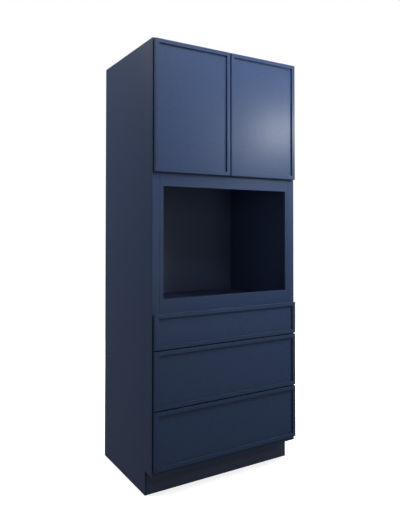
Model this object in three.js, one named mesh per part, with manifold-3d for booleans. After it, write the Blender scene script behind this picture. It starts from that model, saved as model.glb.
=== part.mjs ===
// Tall oven housing unit: a framed kitchen cabinet with a toe kick, three drawers,
// an open oven compartment and a two-door cupboard above it. Millimetres, +Z up.
//
// The unit's own frame has X = 0 at mid width, Y = 0 on the front face of the face frame,
// +Y towards the wall, and Z = 0 on the floor. Sizes measured from an outer side are
// called inset: 0 on the outside of the side panel, growing towards the middle.

import * as THREE from 'three';
import { mergeVertices } from 'three/addons/utils/BufferGeometryUtils.js';
import Module from 'manifold-3d';

const wasm = await Module();
wasm.setup();

// Overall sizes.
const cabinet_width = 838.2;
const cabinet_height = 2133.6;
const cabinet_depth = 609.6;
const joint_gap = 0.3;

// How far a cut runs past the face that it opens, and the flats on a round.
const cut_margin = 1;
const large_round_sides = 32;
const small_round_sides = 12;

// Carcass boards and the grooves that they are let into.
const side_thickness = 12.7;
const board_thickness = 12.7;
const back_thickness = 12.7;
const groove_depth = 6.35;
const kick_height = 114.3;
const kick_recess = 76.2;
const kick_board_thickness = 12.7;
const oven_deck_thickness = 19.05;
const oven_deck_tongue = 12.7;
const oven_deck_drop = 50.8;
const hanging_rail_height = 88.9;
const hanging_rail_thickness = 19.05;

// Face frame.
const frame_thickness = 19.05;
const stile_width = 38.1;
const rail_width = 38.1;
const oven_filler_width = 19.05;
const oven_opening_height = 526.7;
const oven_margin = 65.1;

// Doors and drawer fronts.
const front_thickness = 19.05;
const front_standoff = 2;
const front_reveal = 6.35;
const front_gap = 6.35;
const front_overlay = 12.7;
const front_border = 19.05;
const panel_recess = 8.85;
const panel_lap = 6;
const large_front_height = 269.2;
const small_front_height = 163.5;

// Drawer boxes and their runners.
const runner_space = 12.7;
const runner_height = 45;
const runner_steel = 1.5;
const runner_clearance = 0.4;
const runner_lip_gap = 1.9;
const runner_rise = 35;
const runner_bracket_width = 24;
const runner_bracket_thickness = 2;
const runner_front_setback = 2;
const box_length = 533.4;
const box_wall = 12.7;
const box_room_below = 12.7;
const box_room_above = 19.05;
const box_bottom_thickness = 6.35;
const box_bottom_rise = 12.7;
const box_groove_depth = 6;

// Adjustable shelf and its pins.
const shelf_thickness = 19.05;
const shelf_side_clearance = 0.8;
const shelf_front_setback = 12;
const shelf_back_clearance = 6;
const pin_hole_radius = 2.5;
const pin_hole_depth = 9.5;
const pin_hole_pitch = 32;
const pin_holes_each_way = 3;
const pin_inset_front = 50;
const pin_inset_back = 60;
const pin_rest_reach = 8;
const pin_rest_width = 10;
const pin_back_height = 14;
const pin_back_thickness = 2;

// Concealed hinges: a cup let into the door and a base screwed to the stile.
const hinge_end_distance = 80;
const cup_radius = 17.2;
const cup_depth = 7.5;
const cup_wall = 1;
const cup_inset = 22.5;
const cup_flange_radius = 19;
const cup_flange_thickness = 1;
const cup_wing_length = 62;
const cup_wing_width = 15;
const cup_block_length = 20;
const cup_block_width = 11;
const base_plate_height = 62;
const base_plate_thickness = 2;
const base_arm_width = 16;
const base_arm_reach = 11;
const base_arm_nose = 6;

// Places that several pieces share.
const half_width = cabinet_width / 2;
const carcass_front = frame_thickness + joint_gap;
const back_face = cabinet_depth - back_thickness;
const carcass_back = back_face - joint_gap;
const board_end_inset = side_thickness - groove_depth + joint_gap;
const front_back_face = -front_standoff;
const front_face = front_back_face - front_thickness;

// Heights, from the floor up.
const bottom_rail_top = kick_height + rail_width;
const bottom_front_low = bottom_rail_top - front_overlay;
const bottom_front_high = bottom_front_low + large_front_height;
const middle_front_low = bottom_front_high + front_gap;
const middle_front_high = middle_front_low + large_front_height;
const top_front_low = middle_front_high + front_gap;
const top_front_high = top_front_low + small_front_height;
const lower_drawer_rail_middle = bottom_front_high + front_gap / 2;
const upper_drawer_rail_middle = middle_front_high + front_gap / 2;
const lower_oven_rail_low = top_front_high - front_overlay;
const oven_opening_low = top_front_high + oven_margin;
const oven_opening_high = oven_opening_low + oven_opening_height;
const door_low = oven_opening_high + oven_margin;
const door_high = cabinet_height - front_reveal;
const upper_oven_rail_high = door_low + front_overlay;
const oven_deck_top = oven_opening_low - oven_deck_drop;
const oven_deck_low = oven_deck_top - oven_deck_thickness;
const cupboard_floor_top = upper_oven_rail_high;
const cupboard_ceiling = cabinet_height - board_thickness;
const shelf_low = (cupboard_floor_top + cupboard_ceiling - shelf_thickness) / 2;

// Finishes.
const navy_paint = new THREE.MeshStandardMaterial({ color: 0x2f3d5c, roughness: 0.42, metalness: 0 });
const navy_inside = new THREE.MeshStandardMaterial({ color: 0x2a3753, roughness: 0.55, metalness: 0 });
const birch_plywood = new THREE.MeshStandardMaterial({ color: 0xd9bf97, roughness: 0.6, metalness: 0 });
const zinc_steel = new THREE.MeshStandardMaterial({ color: 0xb4b8bc, roughness: 0.35, metalness: 1 });
const nickel = new THREE.MeshStandardMaterial({ color: 0xc4c2bc, roughness: 0.28, metalness: 1 });

// A box in the unit's frame, from its low and high value on each axis.
function span(x, y, z) {
  return new THREE.Box3(
    new THREE.Vector3(Math.min(...x), Math.min(...y), Math.min(...z)),
    new THREE.Vector3(Math.max(...x), Math.max(...y), Math.max(...z)),
  );
}

// X of a point that lies a distance in from the outside of one side, -1 left or 1 right.
function atInset(side, inset) {
  return side * (half_width - inset);
}

// The X values of a stretch between two insets.
function insets(side, outer, inner) {
  return [atInset(side, outer), atInset(side, inner)];
}

// The whole width between the same inset on both sides.
function across(inset) {
  return [-half_width + inset, half_width - inset];
}

function boxGeometry(box) {
  const size = box.getSize(new THREE.Vector3());
  const centre = box.getCenter(new THREE.Vector3());
  return new THREE.BoxGeometry(size.x, size.y, size.z).translate(centre.x, centre.y, centre.z);
}

// A round bar along X, Y or Z between two values on that axis; at holds the other two.
function barGeometry(axis, radius, from, to, at, sides = large_round_sides) {
  const geometry = new THREE.CylinderGeometry(radius, radius, Math.abs(to - from), sides);
  if (axis === 'x') geometry.rotateZ(Math.PI / 2);
  if (axis === 'z') geometry.rotateX(Math.PI / 2);
  const middle = (from + to) / 2;
  if (axis === 'x') geometry.translate(middle, at[0], at[1]);
  if (axis === 'y') geometry.translate(at[0], middle, at[1]);
  if (axis === 'z') geometry.translate(at[0], at[1], middle);
  return geometry;
}

function solidOf(geometry) {
  const bare = geometry.clone();
  bare.deleteAttribute('normal');
  bare.deleteAttribute('uv');
  const merged = mergeVertices(bare);
  const vertProperties = new Float32Array(merged.attributes.position.array);
  const triVerts = new Uint32Array(merged.index.array);
  return new wasm.Manifold(new wasm.Mesh({ numProp: 3, vertProperties, triVerts }));
}

function geometryOf(solid) {
  const { vertProperties, triVerts } = solid.getMesh();
  const geometry = new THREE.BufferGeometry();
  geometry.setAttribute('position', new THREE.BufferAttribute(vertProperties, 3));
  geometry.setIndex(new THREE.BufferAttribute(triVerts, 1));
  geometry.computeVertexNormals();
  return geometry;
}

// One solid made of the first shape, joined with the added ones and cut by the rest.
function shaped(first, added, cuts) {
  let solid = solidOf(first);
  for (const extra of added) solid = solid.add(solidOf(extra));
  for (const cut of cuts) solid = solid.subtract(solidOf(cut));
  return geometryOf(solid);
}

// A mesh whose geometry is drawn round its own middle and placed by its position.
function piece(name, finish, geometry) {
  geometry.computeBoundingBox();
  const centre = geometry.boundingBox.getCenter(new THREE.Vector3());
  geometry.translate(-centre.x, -centre.y, -centre.z);
  const mesh = new THREE.Mesh(geometry, finish);
  mesh.name = name;
  mesh.position.copy(centre);
  return mesh;
}

function board(name, finish, x, y, z) {
  return piece(name, finish, boxGeometry(span(x, y, z)));
}

const side_names = new Map([[-1, 'left'], [1, 'right']]);

// Heights of the centres of the holes for one column of shelf pins.
function pinHoleHeights() {
  const heights = [];
  for (let step = -pin_holes_each_way; step <= pin_holes_each_way; step += 1) {
    heights.push(pin_height + step * pin_hole_pitch);
  }
  return heights;
}

const pin_radius = pin_hole_radius - joint_gap;
const pin_height = shelf_low - joint_gap - pin_radius;
const pin_places = new Map([
  ['front', carcass_front + pin_inset_front],
  ['back', carcass_back - pin_inset_back],
]);

// A side panel: notched for the toe kick, rebated for the back and the top, grooved for
// the bottom, the oven deck and the cupboard floor, and drilled for the shelf pins.
function sidePanel(side) {
  const inner = insets(side, side_thickness - groove_depth, side_thickness + groove_depth);
  const past_front = [0, back_face];
  const below = -cut_margin;
  const above = cabinet_height + cut_margin;
  const cuts = [
    span(insets(side, -cut_margin, side_thickness + cut_margin), [0, kick_recess], [below, kick_height]),
    span(inner, [carcass_back, cabinet_depth + cut_margin], [below, above]),
    span(inner, past_front, [cupboard_ceiling - joint_gap, above]),
  ].map(boxGeometry);
  const grooves = [
    [bottom_rail_top - board_thickness, bottom_rail_top],
    [oven_deck_low, oven_deck_low + oven_deck_tongue],
    [cupboard_floor_top - board_thickness, cupboard_floor_top],
  ];
  for (const [low, high] of grooves) {
    cuts.push(boxGeometry(span(inner, past_front, [low - joint_gap, high + joint_gap])));
  }
  const hole_start = atInset(side, side_thickness + cut_margin);
  const hole_end = atInset(side, side_thickness - pin_hole_depth);
  for (const y of pin_places.values()) {
    for (const z of pinHoleHeights()) {
      cuts.push(barGeometry('x', pin_hole_radius, hole_start, hole_end, [y, z], small_round_sides));
    }
  }
  const blank = boxGeometry(span(
    insets(side, 0, side_thickness),
    [carcass_front, cabinet_depth],
    [0, cabinet_height],
  ));
  return piece(`side_panel_${side_names.get(side)}`, navy_paint, shaped(blank, [], cuts));
}

// A board that is let into the grooves of both side panels.
function housedBoard(name, finish, low, high) {
  return board(name, finish, across(board_end_inset), [carcass_front, carcass_back], [low, high]);
}

// The deck that carries the oven. Its ends are cut down to tongues, so that its top is
// one clear face between the side panels.
function ovenDeck() {
  const y = [carcass_front, carcass_back];
  const blank = boxGeometry(span(across(board_end_inset), y, [oven_deck_low, oven_deck_top]));
  const shoulders = [...side_names.keys()].map((side) => boxGeometry(span(
    insets(side, 0, side_thickness + joint_gap),
    [0, cabinet_depth],
    [oven_deck_low + oven_deck_tongue, oven_deck_top + cut_margin],
  )));
  return piece('oven_deck', navy_inside, shaped(blank, [], shoulders));
}

function carcass() {
  const group = new THREE.Group();
  const between = across(side_thickness + joint_gap);
  const rail_back = carcass_back;
  group.add(
    sidePanel(-1),
    sidePanel(1),
    housedBoard('top_panel', navy_paint, cupboard_ceiling, cabinet_height),
    housedBoard('bottom_panel', navy_inside, bottom_rail_top - board_thickness, bottom_rail_top),
    ovenDeck(),
    housedBoard('cupboard_floor', navy_inside, cupboard_floor_top - board_thickness, cupboard_floor_top),
    board(
      'back_panel', navy_paint, across(board_end_inset),
      [back_face, cabinet_depth],
      [0, cabinet_height],
    ),
    board(
      'toe_kick_board', navy_paint, between,
      [kick_recess, kick_recess + kick_board_thickness],
      [0, bottom_rail_top - board_thickness - joint_gap],
    ),
    board(
      'hanging_rail', navy_inside, between,
      [rail_back - hanging_rail_thickness, rail_back],
      [cupboard_ceiling - joint_gap - hanging_rail_height, cupboard_ceiling - joint_gap],
    ),
  );
  return group;
}

// The face frame: two full-height stiles, six rails between them, and a filler strip on
// each side of the oven opening.
function faceFrame() {
  const group = new THREE.Group();
  const y = [0, frame_thickness];
  const rails = new Map([
    ['bottom_rail', [kick_height, bottom_rail_top]],
    ['lower_drawer_rail', centred(lower_drawer_rail_middle, rail_width)],
    ['upper_drawer_rail', centred(upper_drawer_rail_middle, rail_width)],
    ['lower_oven_rail', [lower_oven_rail_low, oven_opening_low]],
    ['upper_oven_rail', [oven_opening_high, upper_oven_rail_high]],
    ['top_rail', [cabinet_height - rail_width, cabinet_height]],
  ]);
  for (const [name, z] of rails) {
    group.add(board(name, navy_paint, across(stile_width + joint_gap), y, z));
  }
  for (const [side, side_name] of side_names) {
    const stile_z = [kick_height, cabinet_height];
    const filler_x = insets(side, stile_width + joint_gap, stile_width + oven_filler_width);
    const filler_z = [oven_opening_low + joint_gap, oven_opening_high - joint_gap];
    group.add(board(`stile_${side_name}`, navy_paint, insets(side, 0, stile_width), y, stile_z));
    group.add(board(`oven_filler_${side_name}`, navy_paint, filler_x, y, filler_z));
  }
  return group;
}

function centred(middle, size) {
  return [middle - size / 2, middle + size / 2];
}

// A slim frame with a recessed panel behind it. The panel sits in a rebate cut in the
// frame's back, level with the back face. Bores for hinge cups go into both.
function framedFront(name, x, z, bores) {
  const y = [front_face, front_back_face];
  const panel_face = front_face + panel_recess;
  const shrink = (values, by) => [Math.min(...values) + by, Math.max(...values) - by];
  const window = boxGeometry(span(
    shrink(x, front_border), [front_face - cut_margin, front_back_face + cut_margin], shrink(z, front_border),
  ));
  const rebate_border = front_border - panel_lap;
  const rebate = boxGeometry(span(
    shrink(x, rebate_border), [panel_face, front_back_face + cut_margin], shrink(z, rebate_border),
  ));
  const panel = boxGeometry(span(
    shrink(x, rebate_border + joint_gap),
    [panel_face + joint_gap, front_back_face],
    shrink(z, rebate_border + joint_gap),
  ));
  const frame = shaped(boxGeometry(span(x, y, z)), [], [window, rebate, ...bores]);
  return [
    piece(`${name}_frame`, navy_paint, frame),
    piece(`${name}_panel`, navy_paint, bores.length ? shaped(panel, [], bores) : panel),
  ];
}

const hinge_heights = new Map([
  ['lower', door_low + hinge_end_distance],
  ['upper', door_high - hinge_end_distance],
]);

// The cup half of a concealed hinge: a shallow pot in the door's back, its flange on the
// back face, and the folded arm inside the pot.
function hingeCup(side, height_name, z) {
  const x = atInset(side, front_reveal + cup_inset);
  const flange_back = front_back_face + joint_gap;
  const flange_front = flange_back + cup_flange_thickness;
  const floor = front_back_face - cup_depth;
  const flange = barGeometry('y', cup_flange_radius, flange_back, flange_front, [x, z]);
  const wing = boxGeometry(span(
    centred(x, cup_wing_width), [flange_back, flange_front], centred(z, cup_wing_length),
  ));
  const pot = barGeometry('y', cup_radius, floor, flange_front, [x, z]);
  const mouth = flange_front + cut_margin;
  const hollow = barGeometry('y', cup_radius - cup_wall, floor + cup_wall, mouth, [x, z]);
  const block = boxGeometry(span(
    centred(x, cup_block_length), [floor + cup_wall / 2, flange_front], centred(z, cup_block_width),
  ));
  const pot_solid = solidOf(flange).add(solidOf(wing)).add(solidOf(pot)).subtract(solidOf(hollow));
  const geometry = geometryOf(pot_solid.add(solidOf(block)));
  return piece(`hinge_cup_${side_names.get(side)}_${height_name}`, nickel, geometry);
}

// The base half: a plate on the inner edge of the stile with the arm's body on it.
function hingeBase(side, height_name, z) {
  const start = stile_width + joint_gap;
  const plate = boxGeometry(span(
    insets(side, start, start + base_plate_thickness),
    [joint_gap, frame_thickness - joint_gap],
    centred(z, base_plate_height),
  ));
  const arm = boxGeometry(span(
    insets(side, start, start + base_arm_reach), [joint_gap, frame_thickness], centred(z, base_arm_width),
  ));
  const nose_x = atInset(side, start + base_arm_reach);
  const nose = barGeometry('z', base_arm_nose, z - base_arm_width, z + base_arm_width, [nose_x, 0]);
  const geometry = shaped(plate, [arm], [nose]);
  return piece(`hinge_base_${side_names.get(side)}_${height_name}`, nickel, geometry);
}

function door(side) {
  const group = new THREE.Group();
  const x = [atInset(side, front_reveal), side * front_gap / 2];
  const bore_x = atInset(side, front_reveal + cup_inset);
  const bore_end = front_back_face - cup_depth - joint_gap;
  const bores = [...hinge_heights.values()].map((z) => (
    barGeometry('y', cup_radius + joint_gap, bore_end, front_back_face + cut_margin, [bore_x, z])
  ));
  group.add(...framedFront(`${side_names.get(side)}_door`, x, [door_low, door_high], bores));
  for (const [height_name, z] of hinge_heights) group.add(hingeCup(side, height_name, z));
  return group;
}

function hingeBases() {
  const group = new THREE.Group();
  for (const side of side_names.keys()) {
    for (const [height_name, z] of hinge_heights) group.add(hingeBase(side, height_name, z));
  }
  return group;
}

// A drawer's own heights: its front, and the opening in the face frame behind it.
const drawers = new Map([
  ['bottom', {
    front: [bottom_front_low, bottom_front_high],
    opening: [bottom_rail_top, lower_drawer_rail_middle - rail_width / 2],
  }],
  ['middle', {
    front: [middle_front_low, middle_front_high],
    opening: [lower_drawer_rail_middle + rail_width / 2, upper_drawer_rail_middle - rail_width / 2],
  }],
  ['top', {
    front: [top_front_low, top_front_high],
    opening: [upper_drawer_rail_middle + rail_width / 2, lower_oven_rail_low],
  }],
]);

const box_inset = stile_width + runner_space;
const box_front = front_back_face + joint_gap;
const box_back = box_front + box_length;

// A length of folded steel channel, from its outline in X and Z, running along Y.
function channelGeometry(outline, y_low, y_high) {
  const shape = new THREE.Shape(outline.map(([x, z]) => new THREE.Vector2(x, z)));
  const geometry = new THREE.ExtrudeGeometry(shape, { depth: y_high - y_low, bevelEnabled: false });
  return geometry.rotateX(Math.PI / 2).translate(0, y_high, 0);
}

// The outline of a channel whose web stands at one inset and whose lips reach another.
function channelOutline(side, web, lips, middle, height) {
  const inward = Math.sign(lips - web);
  const half = height / 2;
  const points = [
    [web, -half],
    [lips, -half],
    [lips, -half + runner_steel],
    [web + inward * runner_steel, -half + runner_steel],
    [web + inward * runner_steel, half - runner_steel],
    [lips, half - runner_steel],
    [lips, half],
    [web, half],
  ];
  return points.map(([inset, z]) => [atInset(side, inset), middle + z]);
}

// The fixed runner: a channel along the cabinet, held to the stile's inner edge in front
// and by a turned plate against the back panel.
function cabinetRunner(side, drawer_name, middle) {
  const web = stile_width + joint_gap;
  const lips = box_inset - runner_lip_gap;
  const outline = channelOutline(side, web, lips, middle, runner_height);
  const channel = channelGeometry(outline, runner_front_setback, carcass_back);
  const bracket = boxGeometry(span(
    insets(side, web, web + runner_bracket_width),
    [carcass_back - joint_gap - runner_bracket_thickness, carcass_back],
    centred(middle, runner_height),
  ));
  const name = `${drawer_name}_cabinet_runner_${side_names.get(side)}`;
  return piece(name, zinc_steel, shaped(channel, [bracket], []));
}

// The sliding runner on the drawer box, which runs inside the fixed one.
function drawerRunner(side, drawer_name, middle) {
  const web = box_inset - joint_gap;
  const lips = stile_width + joint_gap + runner_steel + runner_clearance;
  const height = runner_height - 2 * (runner_steel + runner_clearance);
  const outline = channelOutline(side, web, lips, middle, height);
  const channel = channelGeometry(outline, runner_front_setback, box_back);
  return piece(`${drawer_name}_drawer_runner_${side_names.get(side)}`, zinc_steel, channel);
}

// The drawer box's four sides in one ring, with a groove for the bottom.
function drawerBox(drawer_name, low, high) {
  const outer = boxGeometry(span(across(box_inset), [box_front, box_back], [low, high]));
  const inner = box_inset + box_wall;
  const inside = boxGeometry(span(
    across(inner), [box_front + box_wall, box_back - box_wall], [low - cut_margin, high + cut_margin],
  ));
  const bottom_low = low + box_bottom_rise;
  const bottom_high = bottom_low + box_bottom_thickness;
  const reach = box_wall - box_groove_depth;
  const groove = boxGeometry(span(
    across(box_inset + reach), [box_front + reach, box_back - reach],
    [bottom_low - joint_gap, bottom_high + joint_gap],
  ));
  const edge = reach + joint_gap;
  return [
    piece(`${drawer_name}_drawer_box`, birch_plywood, shaped(outer, [], [inside, groove])),
    board(
      `${drawer_name}_drawer_bottom`, birch_plywood,
      across(box_inset + edge), [box_front + edge, box_back - edge], [bottom_low, bottom_high],
    ),
  ];
}

function drawer(drawer_name) {
  const group = new THREE.Group();
  const { front, opening } = drawers.get(drawer_name);
  const low = opening[0] + box_room_below;
  const high = opening[1] - box_room_above;
  group.add(...framedFront(`${drawer_name}_drawer_front`, across(front_reveal), front, []));
  group.add(...drawerBox(drawer_name, low, high));
  for (const side of side_names.keys()) group.add(drawerRunner(side, drawer_name, low + runner_rise));
  return group;
}

function cabinetRunners() {
  const group = new THREE.Group();
  for (const [drawer_name, { opening }] of drawers) {
    const middle = opening[0] + box_room_below + runner_rise;
    for (const side of side_names.keys()) group.add(cabinetRunner(side, drawer_name, middle));
  }
  return group;
}

// A shelf pin: a peg in the side panel's hole, a back plate and a rest under the shelf.
function shelfPin(side, place, y) {
  const face = side_thickness + joint_gap;
  const peg_end = side_thickness - pin_hole_depth + joint_gap;
  const peg_start = face + pin_back_thickness;
  const peg = barGeometry(
    'x', pin_radius, atInset(side, peg_end), atInset(side, peg_start), [y, pin_height], small_round_sides,
  );
  const top = pin_height + pin_radius;
  const rest = boxGeometry(span(
    insets(side, face, face + pin_rest_reach), centred(y, pin_rest_width), [pin_height - pin_radius, top],
  ));
  const plate = boxGeometry(span(
    insets(side, face, face + pin_back_thickness), centred(y, pin_rest_width), [top - pin_back_height, top],
  ));
  return piece(`shelf_pin_${side_names.get(side)}_${place}`, nickel, shaped(peg, [rest, plate], []));
}

function shelf() {
  const group = new THREE.Group();
  group.add(board(
    'adjustable_shelf', navy_inside,
    across(side_thickness + shelf_side_clearance),
    [carcass_front + shelf_front_setback, carcass_back - shelf_back_clearance],
    [shelf_low, shelf_low + shelf_thickness],
  ));
  for (const side of side_names.keys()) {
    for (const [place, y] of pin_places) group.add(shelfPin(side, place, y));
  }
  return group;
}

// The origin of the exported group is at floor level, in the middle of the whole depth.
const overall_depth = cabinet_depth - front_face;
const unit = new THREE.Group();
unit.position.y = overall_depth / 2 - cabinet_depth;
unit.add(carcass(), faceFrame(), cabinetRunners(), hingeBases(), shelf(), door(-1), door(1));
for (const drawer_name of drawers.keys()) unit.add(drawer(drawer_name));

export default unit;
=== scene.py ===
"""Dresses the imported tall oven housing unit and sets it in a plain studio.

The cabinet's boards get eased edges and navy paint, the doors and drawer fronts get mitred
slim frames, the drawer boxes get dovetailed plywood sides, and the hinges, shelf pins and
runners get their stamped steel detail. All lengths are in metres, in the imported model's frame.
"""

from __future__ import annotations

import logging
import math
from collections.abc import Callable, Iterable, Sequence
from dataclasses import dataclass
from enum import Enum

import bmesh
import bpy
from mathutils import Matrix, Vector

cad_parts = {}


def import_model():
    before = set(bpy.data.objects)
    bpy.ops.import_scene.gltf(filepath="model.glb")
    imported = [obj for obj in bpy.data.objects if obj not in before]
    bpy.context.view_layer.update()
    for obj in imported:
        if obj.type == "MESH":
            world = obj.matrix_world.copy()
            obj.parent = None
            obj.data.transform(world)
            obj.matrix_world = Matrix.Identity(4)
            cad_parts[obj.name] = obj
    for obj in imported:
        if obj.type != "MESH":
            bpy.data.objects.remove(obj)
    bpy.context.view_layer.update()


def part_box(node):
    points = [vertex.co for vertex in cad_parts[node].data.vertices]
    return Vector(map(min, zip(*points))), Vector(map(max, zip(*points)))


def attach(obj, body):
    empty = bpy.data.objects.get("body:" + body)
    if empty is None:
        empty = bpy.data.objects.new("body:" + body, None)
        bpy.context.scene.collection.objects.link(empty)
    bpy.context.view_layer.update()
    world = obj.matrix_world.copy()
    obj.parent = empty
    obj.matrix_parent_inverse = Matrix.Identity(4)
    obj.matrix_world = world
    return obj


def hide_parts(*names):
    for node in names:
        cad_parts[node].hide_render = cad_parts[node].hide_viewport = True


log = logging.getLogger("oven_housing")

MM = 0.001
CABINET = "cabinet"
HOUSED_BOARDS = ("bottom_panel", "oven_deck", "cupboard_floor")
JOINT_GAP = 0.3 * MM
PAST = 1.0 * MM  # how far a cutter reaches past what it cuts
INTO = 0.2 * MM  # how far a joined shape runs into its neighbour
CRISP = 0.01 * MM  # the radius of a corner that looks sharp
SHARP = math.radians(40)  # an edge that bends more than this is rounded
SMOOTH = math.radians(38)  # an edge that bends less than this is shaded smooth
FLAT = math.radians(0.5)  # faces that differ less than this become one
NOISE_SPAN = (0.3, 0.7)  # where most values of a noise lie

Point = tuple[float, float]
Place = tuple[float, float, float]
Colour = tuple[float, float, float]
WHITE: Colour = (1.0, 1.0, 1.0)


class Axis(Enum):
    """A direction of the model's frame."""

    X = 0
    Y = 1
    Z = 2

    def split(self, along: float, across: float) -> Place:
        """One value on this axis and another on the other two."""
        return tuple(along if axis is self else across for axis in Axis)

    @property
    def unit(self) -> Vector:
        """The unit vector along this axis."""
        return Vector(self.split(1.0, 0.0))

    def point(self, along: float, across: Point) -> Vector:
        """A point from its value on this axis and its values on the other two, in order."""
        return Vector((*across[:self.value], along, *across[self.value:]))


class Side(Enum):
    """Left or right, as one faces the doors."""

    LEFT = "left"
    RIGHT = "right"

    @property
    def sign(self) -> int:
        """The sign of X on this side."""
        return self.pick(-1, 1)

    def pick(self, left: object, right: object) -> object:
        """The first value on the left and the second on the right."""
        return left if self is Side.LEFT else right

    def outer_and_inner(self, low: Vector, high: Vector) -> Point:
        """X of a box's side away from the cabinet's middle, and X of the other one."""
        return self.pick((low.x, high.x), (high.x, low.x))


class Level(Enum):
    """A drawer, by its place in the stack."""

    BOTTOM = "bottom"
    MIDDLE = "middle"
    TOP = "top"


class Effect(Enum):
    """The surface effects that several finishes share, each one node group."""

    PAINT_SKIN = "paint_skin"
    # outer edges: rubbed plating on steel; on the navy paint, thin paint plus a painted highlight
    EDGE_RUB = "edge_rub"
    WOOD_FIGURE = "wood_figure"
    PLY_LAYERS = "ply_layers"
    ROLLED_STEEL = "rolled_steel"


def shaded(colour: Colour, factor: float = 1.0) -> tuple[float, float, float, float]:
    """A colour made darker or lighter, with full alpha."""
    return (*(value * factor for value in colour), 1.0)


class Wiring:
    """Adds and links nodes in one node tree."""

    def __init__(self, tree: bpy.types.NodeTree) -> None:
        """Starts on the node tree of a material, a world or a group."""
        self.tree = tree

    def add(
        self, kind: str, options: dict[str, object] | None = None, **inputs: object,
    ) -> bpy.types.NodeOutputs:
        """Adds a node, sets its options and fills its inputs.

        Args:
            kind: The node's type, without the leading "ShaderNode".
            options: Properties of the node, by name.
            **inputs: Values or output sockets, by input name with "_" for a space, or by
                "in0", "in1" and so on for inputs that share a name.

        Returns:
            The node's outputs.
        """
        node = self.tree.nodes.new(f"ShaderNode{kind}")
        for name, value in (options or {}).items():
            setattr(node, name, value)
        for name, value in inputs.items():
            numbered = name.startswith("in") and name[2:].isdigit()
            self.fill(node.inputs[int(name[2:]) if numbered else name.replace("_", " ")], value)
        return node.outputs

    def fill(self, socket: bpy.types.NodeSocket, value: object) -> None:
        """Links an output socket to an input, or sets the input's own value.

        Args:
            socket: The input.
            value: The output socket or the value.
        """
        if isinstance(value, bpy.types.NodeSocket):
            self.tree.links.new(value, socket)
        else:
            socket.default_value = value

    def effect(self, effect: Effect, **inputs: object) -> bpy.types.NodeOutputs:
        """Places the node group of a shared effect."""
        return self.add("Group", {"node_tree": bpy.data.node_groups[effect.value]}, **inputs)

    def noise(self, vector: object, scale: object, detail: float = 2.0) -> object:
        """A noise value between 0 and 1 over the given coordinates."""
        return self.add("TexNoise", Vector=vector, Scale=scale, Detail=detail)[0]

    def spread(
        self, value: object, low: float, high: float, to_low: float = 0.0, to_high: float = 1.0,
    ) -> object:
        """A value mapped from one range to another, by default 0 to 1, and kept inside it."""
        ranges = {"From_Min": low, "From_Max": high, "To_Min": to_low, "To_Max": to_high}
        return self.add("MapRange", Value=value, **ranges)[0]

    def math(self, operation: str, first: object, second: object = 0.0, clamp: bool = False) -> object:
        """The result of a Math node."""
        return self.add("Math", {"operation": operation, "use_clamp": clamp}, in0=first, in1=second)[0]

    def vector(self, operation: str, *inputs: object) -> bpy.types.NodeOutputs:
        """The outputs of a Vector Math node."""
        numbered = {f"in{number}": value for number, value in enumerate(inputs)}
        return self.add("VectorMath", {"operation": operation}, **numbered)

    def mixed(self, factor: object, first: object, second: object) -> object:
        """A blend of two colours."""
        return self.add("Mix", {"data_type": "RGBA"}, in0=factor, in6=first, in7=second)[2]

    def bump(self, height: object, strength: float, distance: float) -> object:
        """The normal of a surface with the given height."""
        return self.add("Bump", Height=height, Strength=strength, Distance=distance)["Normal"]


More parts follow.
